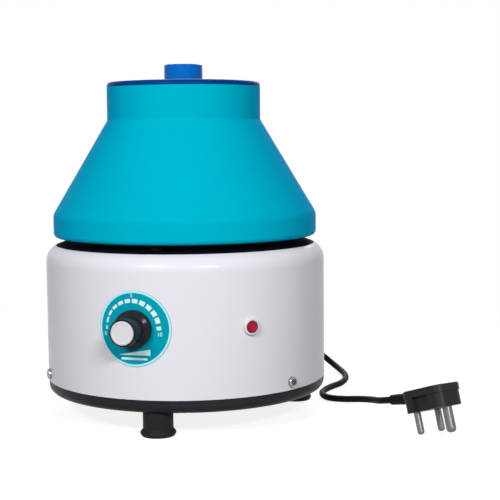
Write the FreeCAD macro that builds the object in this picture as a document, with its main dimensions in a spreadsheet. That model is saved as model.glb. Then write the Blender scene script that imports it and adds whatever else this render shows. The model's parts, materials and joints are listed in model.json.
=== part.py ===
import FreeCAD, Part
import math
import os
import re

import Sketcher

# Bench centrifuge with a conical angle head.
# Millimetres and degrees, +Z up, origin on the bench under the spin axis.
# The front, with the speed dial, faces -Y; angles round the body start there and grow towards +X.

V = FreeCAD.Vector
UP = V(0, 0, 1)

SIZES = {
    # the stack from the bench up: feet, base pan, shell, a gap, and the head
    "foot_height": 18.6,
    "pan_depth": 10,
    "shell_height": 100.8,
    "head_gap": 8.1,
    "head_height": 114.1,
    # round body shell, open below; its shoulder rises past a flat lip that carries the deck
    "shell_radius": 107.75,
    "shell_wall": 2.5,
    "shoulder_slope": 25,
    "shoulder_step": 1.9,
    "lip_width": 27.75,
    # motor deck lying on the lip, its bevelled edge going on from the shoulder
    "deck_inset": 7.9,
    "deck_thick": 4,
    "deck_bevel": 5.5,
    "deck_round": 12,
    "deck_bore": 20,
    "deck_spigot_depth": 6,
    "deck_spigot_wall": 4,
    "deck_screw_inset": 19.75,
    "deck_screw_angle": -12.5,
    # base pan with an upstand inside the shell
    "pan_wall": 2.5,
    "pan_inset": 0.25,
    "pan_round": 6,
    "upstand_height": 10.6,
    "vent_reach": 38,
    "vent_radius": 4,
    "vent_count": 12,
    # rubber feet
    "foot_inset": 16.5,
    "foot_angle": -12.5,
    "foot_column_radius": 11,
    "foot_cup_radius": 13.3,
    "foot_cup_height": 5.5,
    "foot_rim_height": 2.4,
    "foot_rim_round": 1.5,
    "foot_recess_radius": 8,
    "foot_recess_depth": 1.5,
    # pan-head screws used on the case, deck, feet and head
    "screw_radius": 2,
    "screw_head_radius": 4,
    "screw_head_height": 2.4,
    "screw_head_round": 1.4,
    "screw_length": 8,
    "case_screw_angle": 46,
    "case_screw_rise": 5.9,
    # gaps of pieces that are fixed together, and of those that turn
    "seat_gap": 0.15,
    "running_gap": 0.05,
    # dial plate and speed knob
    "dial_angle": -19,
    "dial_rise": 50.9,
    "dial_radius": 26.9,
    "dial_thick": 0.6,
    "dial_bed": 0.05,
    "knob_gap": 0.5,
    "knob_radius": 13.7,
    "knob_skirt": 4.2,
    "knob_skirt_round": 1.2,
    "knob_waist": 2.4,
    "knob_height": 20.2,
    "grip_radius": 10.2,
    "grip_tip_radius": 9.75,
    "knob_recess_radius": 8.2,
    "knob_recess_depth": 5.5,
    "nose_root": 11.5,
    "nose_reach": 16.4,
    "nose_root_width": 9,
    "nose_tip_width": 2.4,
    "cap_radius": 8.4,
    "cap_thick": 1.3,
    "cap_round": 0.6,
    "cap_rim": 1.5,
    "cap_dish": 0.3,
    # speed regulator behind the dial
    "spindle_radius": 3,
    "spindle_depth": 12,
    "spindle_reach": 17,
    "bush_radius": 4.7,
    "bush_reach": 4,
    "nut_flats": 11,
    "nut_thick": 2.4,
    "regulator_radius": 17,
    "regulator_depth": 16,
    "regulator_collar_radius": 8,
    "regulator_collar": 1.6,
    # indicator lamp
    "lamp_angle": 26,
    "lamp_rise": 50.6,
    "lamp_bezel_radius": 6.2,
    "lamp_bezel_thick": 2.2,
    "lamp_barrel_radius": 5.4,
    "lamp_bore": 4.6,
    "lamp_depth": 14,
    "lens_height": 1,
    "lens_round": 1.6,
    "lamp_nut_flats": 14,
    # motor, hung from the deck on three rubber mounts
    "motor_drop": 21.3,
    "motor_height": 68,
    "motor_radius": 38,
    "motor_wall": 3,
    "top_bell_height": 16,
    "bottom_bell_height": 14,
    "bell_end": 3,
    "boss_radius": 14,
    "boss_height": 10,
    "bearing_radius": 11,
    "bearing_width": 7,
    "bearing_lip": 1,
    "shaft_radius": 4,
    "shaft_hole": 5.5,
    "motor_plate_radius": 65,
    "motor_plate_thick": 2.5,
    "motor_plate_bore": 16,
    "mount_reach": 52,
    "mount_radius": 9,
    "mount_waist": 7.5,
    "bolt_radius": 2.5,
    "bolt_head_radius": 4.6,
    "bolt_head_height": 2.6,
    "bolt_nut_flats": 8,
    "bolt_nut_thick": 4,
    "field_bore": 24.5,
    "field_inset": 6,
    "air_gap": 0.5,
    "winding_radius": 19,
    "winding_overhang": 5,
    "commutator_radius": 11,
    "commutator_gap": 2,
    "commutator_length": 7,
    "brush_radius": 3,
    "brush_holder_radius": 4.2,
    "brush_holder_reach": 45,
    "brush_cap_radius": 5.6,
    "brush_cap_thick": 2.5,
    # terminal block on the pan
    "terminal_long": 34,
    "terminal_wide": 15,
    "terminal_high": 12,
    "terminal_ways": 3,
    "terminal_angle": 128,
    "terminal_reach": 70,
    # conical head
    "neck_radius": 59.1,
    "neck_height": 25.1,
    "neck_round": 2,
    "skirt_radius": 101.7,
    "skirt_height": 17.2,
    "skirt_round": 9,
    "head_wall": 2.5,
    "rim_round": 3.5,
    "floor_recess": 1.5,
    "floor_thick": 3,
    "ledge_width": 2,
    "ledge_thick": 2,
    # hub and column of the head
    "hub_boss_radius": 10,
    "hub_drop": 3.3,
    "hub_flange_radius": 30,
    "hub_flange_thick": 3.2,
    "column_radius": 12,
    "shaft_engagement": 24,
    "hub_top_flange_radius": 27,
    "hub_top_flange_thick": 5,
    "floor_screw_reach": 22,
    "plate_screw_reach": 20,
    # tube plate and sleeves
    "tube_count": 6,
    "mouth_drop": 25.5,
    "tube_plate_thick": 3,
    "tube_plate_bore": 14,
    "sleeve_bore": 8.75,
    "sleeve_wall": 1,
    "sleeve_floor_gap": 9.6,
    "sleeve_rim": 6,
    "sleeve_flange_radius": 11.5,
    "sleeve_flange_thick": 1.5,
    "sleeve_wall_gap": 0.8,
    "sleeve_end_round": 7.5,
    # lid, its stud and its knob
    "lid_inset": 0.1,
    "lid_thick": 3.9,
    "lid_round": 2.8,
    "lid_spigot_depth": 4,
    "lid_spigot_wall": 2.5,
    "lid_hole_gap": 0.4,
    "stud_radius": 4,
    "stud_depth": 14,
    "stud_end_gap": 2,
    "washer_radius": 11,
    "washer_thick": 0.6,
    "lid_knob_radius": 14.8,
    "lid_knob_height": 12.9,
    "lid_knob_round": 1.6,
    "lid_knob_bore_depth": 8,
    # power lead
    "cord_radius": 2.6,
    "cord_angle": 150,
    "cord_rise": 16.4,
    "gland_barrel_radius": 5.6,
    "gland_flange_radius": 8.5,
    "gland_flange_thick": 3,
    "gland_root_radius": 6.2,
    "gland_tip_radius": 3.9,
    "gland_reach": 24,
    "gland_depth": 8,
    "gland_catch": 1.2,
    # three-pin plug, standing tilted on its two line pins
    "plug_x": 174.2,
    "plug_y": -92.8,
    "plug_heading": -60,
    "plug_tilt": 18.5,
    "pin_spacing": 19.05,
    "earth_offset": 22.2,
    "line_pin_radius": 2.54,
    "line_pin_length": 16,
    "line_pin_round": 2,
    "earth_pin_radius": 3.53,
    "earth_pin_length": 18.5,
    "earth_pin_round": 2.8,
    "plug_back": 6,
    "plug_front": 29,
    "plug_back_half": 17,
    "plug_front_half": 11,
    "plug_back_round": 5,
    "plug_front_round": 8,
    "plug_thick": 16,
    "plug_lip_thick": 5.5,
    "plug_lip_overhang": 0.6,
    "plug_edge_round": 1.4,
    "grip_start": 4,
    "grip_end": 18,
    "grip_depth": 2.6,
    "boot_length": 32,
    "boot_root_radius": 4.4,
    "boot_tip_radius": 3.8,
    "boot_height": 10.2,
    "boot_lift": 6,
    "boot_sink": 1,
}

# Sizes that follow from those above, heights measured from the bench
DERIVED = {
    "shell_bottom": "foot_height + pan_depth",
    "shell_top": "shell_bottom + shell_height",
    "shell_bore": "shell_radius - shell_wall",
    "deck_opening": "shell_radius - lip_width",
    "deck_radius": "shell_radius - deck_inset",
    "shoulder_edge": "shell_top + shoulder_step",
    "shoulder_width": "deck_inset - seat_gap",
    "shoulder_corner": "shoulder_edge - shoulder_width * tan(shoulder_slope)",
    "shoulder_round": "0.97 * shoulder_width / cos(shoulder_slope) / tan(45 - shoulder_slope / 2)",
    "deck_top": "shell_top + deck_thick",
    "deck_screw_reach": "shell_radius - deck_screw_inset",
    "pan_floor": "foot_height + pan_wall",
    "upstand_radius": "shell_bore - seat_gap",
    "upstand_top": "shell_bottom + upstand_height",
    "foot_reach": "shell_radius - foot_inset",
    "screw_hole": "screw_radius + seat_gap",
    "bolt_hole": "bolt_radius + seat_gap",
    "case_screw_height": "shell_bottom + case_screw_rise",
    "dial_height": "shell_bottom + dial_rise",
    "lamp_height": "shell_bottom + lamp_rise",
    "cord_height": "shell_bottom + cord_rise",
    "knob_base": "dial_bed + dial_thick + knob_gap",
    "motor_top": "shell_top - motor_drop",
    "motor_bottom": "motor_top - motor_height",
    "motor_plate_top": "motor_top + motor_plate_thick",
    "frame_top": "motor_top - top_bell_height",
    "frame_bottom": "motor_bottom + bottom_bell_height",
    "field_top": "frame_top - field_inset",
    "field_bottom": "frame_bottom + field_inset",
    "commutator_top": "field_bottom - winding_overhang - commutator_gap",
    "commutator_bottom": "commutator_top - commutator_length",
    "head_bottom": "shell_top + head_gap",
    "head_top": "head_bottom + head_height",
    "skirt_top": "head_bottom + skirt_height",
    "skirt_bore": "skirt_radius - head_wall",
    "neck_bottom": "head_top - neck_height",
    "neck_bore": "neck_radius - head_wall",
    "cone_angle": "atan((skirt_radius - neck_radius) / (neck_bottom - skirt_top))",
    "crease_drop": "head_wall * tan(cone_angle / 2)",
    "floor_bottom": "head_bottom + floor_recess",
    "floor_top": "floor_bottom + floor_thick",
    "hub_boss_bottom": "shell_top - hub_drop",
    "sleeve_radius": "sleeve_bore + sleeve_wall",
    "mouth_height": "head_top - mouth_drop",
    "mouth_inset": "(head_wall + sleeve_wall_gap + sleeve_radius) / cos(cone_angle)",
    "mouth_reach": "neck_radius + (neck_bottom - mouth_height) * tan(cone_angle) - mouth_inset",
    "sleeve_depth": "(mouth_height - floor_top - sleeve_floor_gap) / cos(cone_angle)",
    "tube_plate_drop": "tube_plate_thick / cos(cone_angle)",
    "ring_top": "mouth_height - (mouth_reach - hub_top_flange_radius) * tan(cone_angle)",
    "hub_top": "ring_top - tube_plate_drop",
    "lid_radius": "neck_radius - lid_inset",
    "lid_top": "head_top + lid_thick",
    "knob_seat": "lid_top + washer_thick",
}

doc = FreeCAD.newDocument("bench_centrifuge")
sheet = doc.addObject("Spreadsheet::Sheet", "Sizes")
for row, (alias, number) in enumerate(SIZES.items(), start=1):
    sheet.set("A%d" % row, alias)
    sheet.set("B%d" % row, str(number))
    sheet.setAlias("B%d" % row, alias)
doc.recompute()

NODES = []


# Expressions and values read from the sheet

def bind(text):
    """An expression in which each size's name points at its cell, and each derived one is written out."""
    def cell(word):
        name = word[0]
        if name in DERIVED:
            return "(%s)" % bind(DERIVED[name])
        return "Sizes." + name if name in SIZES else name

    return re.sub(r"[A-Za-z_]\w*", cell, text)


def value(text):
    result = sheet.evalExpression(bind(text))
    return float(getattr(result, "Value", result))


def keep(obj, label):
    """Names a finished piece of the object."""
    obj.Label = label
    NODES.append(obj)
    return obj


# Placements

def radial(angle):
    turn = math.radians(angle)
    return V(math.sin(turn), -math.cos(turn), 0)


def upright(angle, radius, height):
    """On a circle round the spin axis, with local X pointing outwards."""
    return FreeCAD.Placement(radial(angle) * radius + UP * height, FreeCAD.Rotation(UP, angle - 90))


def outward(angle, radius, height):
    """On a circle round the spin axis, with local Z pointing outwards and local -X up."""
    turned = FreeCAD.Rotation(UP, angle - 90).multiply(FreeCAD.Rotation(V(0, 1, 0), 90))
    return FreeCAD.Placement(radial(angle) * radius + UP * height, turned)


def thirds(start):
    return [start + 120 * step for step in range(3)]


# Sketched outlines

def corner_arc(before, corner, after, radius):
    """The ends, the centre and the turning sense of an arc that rounds a corner."""
    to_before = (before - corner).normalize()
    to_after = (after - corner).normalize()
    half = to_before.getAngle(to_after) / 2
    reach = radius / math.tan(half)
    middle = (to_before + to_after).normalize()
    centre = corner + middle * (radius / math.sin(half))
    left_turn = (corner - before).cross(after - corner).z > 0
    return corner + to_before * reach, corner + to_after * reach, centre, left_turn


def fix_point(sketch, geometry, end, texts):
    """Ties a point of the sketch to two expressions, measured from the sketch's origin."""
    for axis, text in zip(("DistanceX", "DistanceY"), texts):
        row = sketch.addConstraint(Sketcher.Constraint(axis, -1, 1, geometry, end, value(text)))
        sketch.setExpression("Constraints[%d]" % row, bind(text))


def draw_outline(sketch, corners):
    """A closed outline through corners (x, y) or, where it is rounded, (x, y, radius)."""
    points = [V(value(corner[0]), value(corner[1]), 0) for corner in corners]
    count = len(points)
    starts, ends, arcs = list(points), list(points), {}
    for i, corner in enumerate(corners):
        if len(corner) == 3:
            radius = value(corner[2])
            after = points[(i + 1) % count]
            ends[i], starts[i], centre, left = corner_arc(points[i - 1], points[i], after, radius)
            arcs[i] = (centre, radius, left)
    for i in range(count):
        sketch.addGeometry(Part.LineSegment(starts[i], ends[(i + 1) % count]), False)
    for i, corner in enumerate(corners):
        before = (i - 1) % count
        if i not in arcs:
            sketch.addConstraint(Sketcher.Constraint("Coincident", before, 2, i, 1))
            fix_point(sketch, i, 1, corner[:2])
            continue
        centre, radius, left = arcs[i]
        first, last = (ends[i], starts[i]) if left else (starts[i], ends[i])
        angles = [math.atan2(point.y - centre.y, point.x - centre.x) for point in (first, last)]
        arc = sketch.addGeometry(Part.ArcOfCircle(Part.Circle(centre, UP, radius), *angles), False)
        sketch.addConstraint(Sketcher.Constraint("Tangent", before, 2, arc, 1 if left else 2))
        sketch.addConstraint(Sketcher.Constraint("Tangent", i, 1, arc, 2 if left else 1))
        row = sketch.addConstraint(Sketcher.Constraint("Radius", arc, radius))
        sketch.setExpression("Constraints[%d]" % row, bind(corner[2]))
        mark = sketch.addGeometry(Part.Point(points[i]), True)
        sketch.addConstraint(Sketcher.Constraint("PointOnObject", mark, 1, before))
        sketch.addConstraint(Sketcher.Constraint("PointOnObject", mark, 1, i))
        fix_point(sketch, mark, 1, corner[:2])


def new_sketch(body, role, corners):
    sketch = body.newObject("Sketcher::SketchObject", body.Name + "_outline")
    plane = [feature for feature in body.Origin.OriginFeatures if feature.Role == role][0]
    sketch.AttachmentSupport = (plane, [""])
    sketch.MapMode = "FlatFace"
    draw_outline(sketch, corners)
    return sketch


def new_body(label, placement=None):
    body = doc.addObject("PartDesign::Body", label)
    body.Label = label
    if placement:
        body.Placement = placement
    return body


def lathe(label, corners, placement=None):
    """A turned piece: its half section, as (radius, height) corners, revolved about local Z."""
    body = new_body(label, placement)
    turned = body.newObject("PartDesign::Revolution", label + "_turned")
    turned.Profile = new_sketch(body, "XZ_Plane", corners)
    turned.ReferenceAxis = (turned.Profile[0], ["V_Axis"])
    turned.Angle = 360
    doc.recompute()
    return body


def add_pad(body, corners, thick, lift="0"):
    """An outline in local XY, padded along local Z from a height."""
    pad = body.newObject("PartDesign::Pad", body.Name + "_pad")
    pad.Profile = new_sketch(body, "XY_Plane", corners)
    pad.Profile[0].setExpression("AttachmentOffset.Base.z", bind(lift))
    pad.setExpression("Length", bind(thick))
    doc.recompute()
    return pad


# Solids for holes, and pieces made of several solids

def rod(label, radius, length, placement):
    solid = doc.addObject("Part::Cylinder", label)
    solid.setExpression("Radius", bind(radius))
    solid.setExpression("Height", bind(length))
    solid.Placement = placement
    return solid


def group(label, members):
    compound = doc.addObject("Part::Compound", label)
    compound.Links = members
    doc.recompute()
    return compound


def cut(label, blank, tools):
    blank.Label = label + "_blank"
    opened = doc.addObject("Part::Cut", label)
    opened.Base = blank
    opened.Tool = group(label + "_holes", tools)
    doc.recompute()
    return opened


def hex_nut(label, flats, thick, bore, placement):
    prism = doc.addObject("Part::Prism", label)
    prism.Polygon = 6
    prism.setExpression("Circumradius", bind("(%s) / 2 / cos(30)" % flats))
    prism.setExpression("Height", bind(thick))
    prism.Placement = placement
    return cut(label, prism, [rod(label + "_bore", bore, thick, placement)])


def pan_head_screw(label, placement, length="screw_length", head_radius="screw_head_radius",
                   head_height="screw_head_height", radius="screw_radius"):
    """A screw whose head stands on local Z = 0, with its shank below."""
    return lathe(label, [
        ("0", "-(%s)" % length),
        (radius, "-(%s)" % length),
        (radius, "0"),
        (head_radius, "0"),
        (head_radius, head_height, "screw_head_round"),
        ("0", head_height),
    ], placement)


# Body shell, deck, pan and feet

def body_shell():
    shell = lathe("body_shell", [
        ("shell_bore", "shell_bottom"),
        ("shell_radius", "shell_bottom"),
        ("shell_radius", "shoulder_corner", "shoulder_round"),
        ("deck_radius + seat_gap", "shoulder_edge"),
        ("deck_radius + seat_gap", "shell_top"),
        ("deck_opening", "shell_top"),
        ("deck_opening", "shell_top - shell_wall"),
        ("shell_bore", "shell_top - shell_wall", "shoulder_round - shell_wall"),
    ])
    start = value("shell_bore") - value("screw_length")
    through = "shell_wall + 2 * screw_length"
    holes = []
    for angle, height, radius in wall_holes():
        holes.append(rod("wall_hole", radius, through, outward(angle, start, height)))
    for angle in thirds(value("deck_screw_angle")):
        spot = upright(angle, value("deck_screw_reach"), value("shell_top - screw_length"))
        holes.append(rod("lip_hole", "screw_hole", "2 * screw_length", spot))
    return keep(cut("body_shell", shell, holes), "body_shell")


def wall_holes():
    """Angle, height and radius of each hole through the side of the shell."""
    holes = [(angle, value("case_screw_height"), "screw_hole") for angle in thirds(value("case_screw_angle"))]
    holes.append((value("dial_angle"), value("dial_height"), "bush_radius + seat_gap"))
    holes.append((value("lamp_angle"), value("lamp_height"), "lamp_barrel_radius + seat_gap"))
    holes.append((value("cord_angle"), value("cord_height"), "gland_barrel_radius + seat_gap"))
    return holes


def top_deck():
    spigot = "(deck_opening - seat_gap)"
    deck = lathe("top_deck", [
        ("deck_bore", "shell_top"),
        (spigot + " - deck_spigot_wall", "shell_top"),
        (spigot + " - deck_spigot_wall", "shell_top - deck_spigot_depth"),
        (spigot, "shell_top - deck_spigot_depth"),
        (spigot, "shell_top"),
        ("deck_radius", "shell_top"),
        ("deck_radius", "shoulder_edge"),
        ("deck_radius - deck_bevel", "deck_top", "deck_round"),
        ("deck_bore", "deck_top"),
    ])
    holes = []
    for angle in thirds(value("deck_screw_angle")):
        spot = upright(angle, value("deck_screw_reach"), value("shell_top"))
        holes.append(rod("deck_screw_hole", "screw_hole", "deck_thick", spot))
    for angle in thirds(value("foot_angle")):
        spot = upright(angle, value("mount_reach"), value("shell_top"))
        holes.append(rod("deck_bolt_hole", "bolt_hole", "deck_thick", spot))
    return keep(cut("top_deck", deck, holes), "top_deck")


def base_pan():
    rim = "(shell_radius - pan_inset)"
    pan = lathe("base_pan", [
        ("0", "foot_height"),
        (rim, "foot_height", "pan_round"),
        (rim, "shell_bottom"),
        ("upstand_radius", "shell_bottom"),
        ("upstand_radius", "upstand_top"),
        ("upstand_radius - pan_wall", "upstand_top"),
        ("upstand_radius - pan_wall", "pan_floor", "pan_wall"),
        ("0", "pan_floor"),
    ])
    holes = []
    for angle in thirds(value("foot_angle")):
        spot = upright(angle, value("foot_reach"), value("foot_height"))
        holes.append(rod("foot_hole", "screw_hole", "pan_wall", spot))
    for angle in thirds(value("case_screw_angle")):
        spot = outward(angle, value("upstand_radius - 2 * pan_wall"), value("case_screw_height"))
        holes.append(rod("case_screw_hole", "screw_hole", "3 * pan_wall", spot))
    for step in range(int(value("vent_count"))):
        spot = upright(step * 360 / value("vent_count"), value("vent_reach"), value("foot_height"))
        holes.append(rod("vent", "vent_radius", "pan_wall", spot))
    return keep(cut("base_pan", pan, holes), "base_pan")


def suction_foot(number, angle):
    foot = lathe("suction_foot_%d" % number, [
        ("0", "foot_recess_depth"),
        ("foot_recess_radius - foot_recess_depth", "foot_recess_depth"),
        ("foot_recess_radius", "0"),
        ("foot_cup_radius - foot_rim_round", "0"),
        ("foot_cup_radius", "foot_rim_height", "foot_rim_round"),
        ("foot_column_radius", "foot_cup_height"),
        ("foot_column_radius", "foot_height"),
        ("screw_hole", "foot_height"),
        ("screw_hole", "foot_height - screw_length"),
        ("0", "foot_height - screw_length"),
    ], upright(angle, value("foot_reach"), 0))
    return keep(foot, "suction_foot_%d" % number)


def screw_groups():
    """The screws of the case, the deck and the feet, one group each."""
    seat = value("shell_radius + dial_bed")
    case = [pan_head_screw("case_screw", outward(angle, seat, value("case_screw_height")))
            for angle in thirds(value("case_screw_angle"))]
    keep(group("case_screws", case), "case_screws")
    deck = [pan_head_screw("deck_screw", upright(angle, value("deck_screw_reach"), value("deck_top")))
            for angle in thirds(value("deck_screw_angle"))]
    keep(group("deck_screws", deck), "deck_screws")
    feet = [pan_head_screw("foot_screw", upright(angle, value("foot_reach"), value("pan_floor")))
            for angle in thirds(value("foot_angle"))]
    keep(group("foot_screws", feet), "foot_screws")


# Dial, knob and regulator, all on one axis square to the wall

def on_dial():
    return outward(value("dial_angle"), value("shell_radius"), value("dial_height"))


def dial_plate():
    """A thin disc bent round the shell."""
    wrap = lathe("dial_wrap", [
        ("shell_radius + dial_bed", "dial_height - 2 * dial_radius"),
        ("shell_radius + dial_bed + dial_thick", "dial_height - 2 * dial_radius"),
        ("shell_radius + dial_bed + dial_thick", "dial_height + 2 * dial_radius"),
        ("shell_radius + dial_bed", "dial_height + 2 * dial_radius"),
    ])
    start = outward(value("dial_angle"), value("shell_radius / 2"), value("dial_height"))
    disc = doc.addObject("Part::Common", "dial_disc")
    disc.Base = wrap
    disc.Tool = rod("dial_edge", "dial_radius", "shell_radius", start)
    hole = rod("dial_hole", "bush_radius + seat_gap", "shell_radius", start)
    return keep(cut("dial_plate", disc, [hole]), "dial_plate")


def speed_knob():
    knob = lathe("speed_knob", [
        ("knob_recess_radius", "knob_base"),
        ("knob_radius", "knob_base"),
        ("knob_radius", "knob_base + knob_skirt", "knob_skirt_round"),
        ("grip_radius", "knob_base + knob_skirt + knob_waist", "knob_waist"),
        ("grip_tip_radius", "knob_base + knob_height"),
        ("0", "knob_base + knob_height"),
        ("0", "knob_base + spindle_reach + seat_gap"),
        ("spindle_radius + running_gap", "knob_base + spindle_reach + seat_gap"),
        ("spindle_radius + running_gap", "knob_base + knob_recess_depth"),
        ("knob_recess_radius", "knob_base + knob_recess_depth"),
    ], on_dial())
    add_pad(knob, [
        ("-nose_root_width / 2", "-nose_root"),
        ("-nose_tip_width / 2", "-nose_reach"),
        ("nose_tip_width / 2", "-nose_reach"),
        ("nose_root_width / 2", "-nose_root"),
    ], "knob_skirt - knob_skirt_round", "knob_base")
    keep(knob, "speed_knob")
    cap = lathe("knob_cap", [
        ("0", "knob_base + knob_height"),
        ("cap_radius", "knob_base + knob_height"),
        ("cap_radius", "knob_base + knob_height + cap_thick", "cap_round"),
        ("cap_radius - cap_rim", "knob_base + knob_height + cap_thick"),
        ("cap_radius - cap_rim - cap_dish", "knob_base + knob_height + cap_thick - cap_dish"),
        ("0", "knob_base + knob_height + cap_thick - cap_dish"),
    ], on_dial())
    keep(cap, "knob_cap")


def regulator():
    collar = "-(shell_wall + regulator_collar_radius * regulator_collar_radius / shell_radius)"
    front = collar + " - regulator_collar"
    body = lathe("regulator_body", [
        ("0", front + " - regulator_depth"),
        ("regulator_radius", front + " - regulator_depth"),
        ("regulator_radius", front),
        ("regulator_collar_radius", front),
        ("regulator_collar_radius", collar),
        ("bush_radius", collar),
        ("bush_radius", "bush_reach"),
        ("spindle_radius + running_gap", "bush_reach"),
        ("spindle_radius + running_gap", "-spindle_depth - seat_gap"),
        ("0", "-spindle_depth - seat_gap"),
    ], on_dial())
    keep(body, "regulator_body")
    spindle = rod("regulator_spindle", "spindle_radius", "knob_base + spindle_reach + spindle_depth",
                  on_dial().multiply(FreeCAD.Placement(UP * -value("spindle_depth"), FreeCAD.Rotation())))
    keep(spindle, "regulator_spindle")
    seat = on_dial().multiply(FreeCAD.Placement(UP * value("dial_bed + dial_thick"), FreeCAD.Rotation()))
    nut = hex_nut("regulator_nut", "nut_flats", "nut_thick", "bush_radius + running_gap", seat)
    keep(nut, "regulator_nut")


# Indicator lamp

def lamp():
    place = outward(value("lamp_angle"), value("shell_radius"), value("lamp_height"))
    seat = "seat_gap"
    bezel = lathe("lamp_bezel", [
        ("lamp_bore", "-lamp_depth"),
        ("lamp_barrel_radius", "-lamp_depth"),
        ("lamp_barrel_radius", seat),
        ("lamp_bezel_radius", seat),
        ("lamp_bezel_radius", seat + " + lamp_bezel_thick", "lamp_bezel_thick / 2"),
        ("lamp_bore", seat + " + lamp_bezel_thick"),
    ], place)
    keep(bezel, "lamp_bezel")
    lens = lathe("lamp_lens", [
        ("0", "-lamp_depth / 2"),
        ("lamp_bore - running_gap", "-lamp_depth / 2"),
        ("lamp_bore - running_gap", seat + " + lamp_bezel_thick + lens_height", "lens_round"),
        ("0", seat + " + lamp_bezel_thick + lens_height"),
    ], place)
    keep(lens, "lamp_lens")
    nut_back = "shell_wall + nut_thick + lamp_nut_flats * lamp_nut_flats / 4 / shell_radius"
    back = place.multiply(FreeCAD.Placement(UP * -value(nut_back), FreeCAD.Rotation()))
    nut = hex_nut("lamp_nut", "lamp_nut_flats", "nut_thick", "lamp_barrel_radius + running_gap", back)
    keep(nut, "lamp_nut")


# Motor

def motor():
    inside = "(motor_radius - motor_wall)"
    boss_top = "(motor_top + boss_height)"
    top_seat = "(%s - bearing_lip)" % boss_top
    top_bell = lathe("motor_top_bell", [
        (inside, "frame_top"),
        ("motor_radius", "frame_top"),
        ("motor_radius", "motor_top"),
        ("boss_radius", "motor_top"),
        ("boss_radius", boss_top),
        ("shaft_hole", boss_top),
        ("shaft_hole", top_seat),
        ("bearing_radius", top_seat),
        ("bearing_radius", "motor_top - bell_end"),
        (inside, "motor_top - bell_end"),
    ])
    keep(top_bell, "motor_top_bell")
    foot = "(motor_bottom - boss_height)"
    bottom_seat = "(%s + 3 * bearing_lip)" % foot
    bottom_bell = lathe("motor_bottom_bell", [
        ("0", foot),
        ("boss_radius", foot),
        ("boss_radius", "motor_bottom"),
        ("motor_radius", "motor_bottom"),
        ("motor_radius", "frame_bottom"),
        (inside, "frame_bottom"),
        (inside, "motor_bottom + bell_end"),
        ("bearing_radius", "motor_bottom + bell_end"),
        ("bearing_radius", bottom_seat),
        ("shaft_hole", bottom_seat),
        ("shaft_hole", foot + " + 2 * bearing_lip"),
        ("0", foot + " + 2 * bearing_lip"),
    ])
    brush_height = value("(commutator_top + commutator_bottom) / 2")
    brush_holes = [rod("brush_hole", "brush_holder_radius + seat_gap", "3 * motor_wall",
                       outward(angle, value("motor_radius - 2 * motor_wall"), brush_height))
                   for angle in (90, -90)]
    keep(cut("motor_bottom_bell", bottom_bell, brush_holes), "motor_bottom_bell")
    frame = lathe("motor_frame", [
        (inside, "frame_bottom"),
        ("motor_radius", "frame_bottom"),
        ("motor_radius", "frame_top"),
        (inside, "frame_top"),
    ])
    keep(frame, "motor_frame")
    field = lathe("field_stack", [
        ("field_bore", "field_bottom"),
        (inside + " - seat_gap", "field_bottom"),
        (inside + " - seat_gap", "field_top"),
        ("field_bore", "field_top"),
    ])
    keep(field, "field_stack")
    keep(bearing("bearing_top", value(top_seat + " - bearing_width")), "bearing_top")
    keep(bearing("bearing_bottom", value(bottom_seat)), "bearing_bottom")
    for name, angle in (("brush_right", 90), ("brush_left", -90)):
        keep(brush(name, outward(angle, 0, brush_height)), name)


def bearing(label, height):
    """A ball bearing as one ring, with the groove between its races on both faces."""
    inner = "(shaft_radius + running_gap)"
    outer = "(bearing_radius - running_gap)"
    race = "((%s - %s) / 3)" % (outer, inner)
    return lathe(label, [
        (inner, "0"),
        (inner + " + " + race, "0"),
        (inner + " + " + race, "bearing_lip"),
        (outer + " - " + race, "bearing_lip"),
        (outer + " - " + race, "0"),
        (outer, "0"),
        (outer, "bearing_width"),
        (outer + " - " + race, "bearing_width"),
        (outer + " - " + race, "bearing_width - bearing_lip"),
        (inner + " + " + race, "bearing_width - bearing_lip"),
        (inner + " + " + race, "bearing_width"),
        (inner, "bearing_width"),
    ], FreeCAD.Placement(UP * height, FreeCAD.Rotation()))


def brush(label, placement):
    """A carbon brush in its screwed holder, along local Z from the commutator outwards."""
    return lathe(label, [
        ("0", "commutator_radius + 2 * running_gap"),
        ("brush_radius", "commutator_radius + 2 * running_gap"),
        ("brush_radius", "motor_radius - 2 * motor_wall"),
        ("brush_holder_radius", "motor_radius - 2 * motor_wall"),
        ("brush_holder_radius", "brush_holder_reach"),
        ("brush_cap_radius", "brush_holder_reach"),
        ("brush_cap_radius", "brush_holder_reach + brush_cap_thick"),
        ("0", "brush_holder_reach + brush_cap_thick"),
    ], placement)


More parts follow.
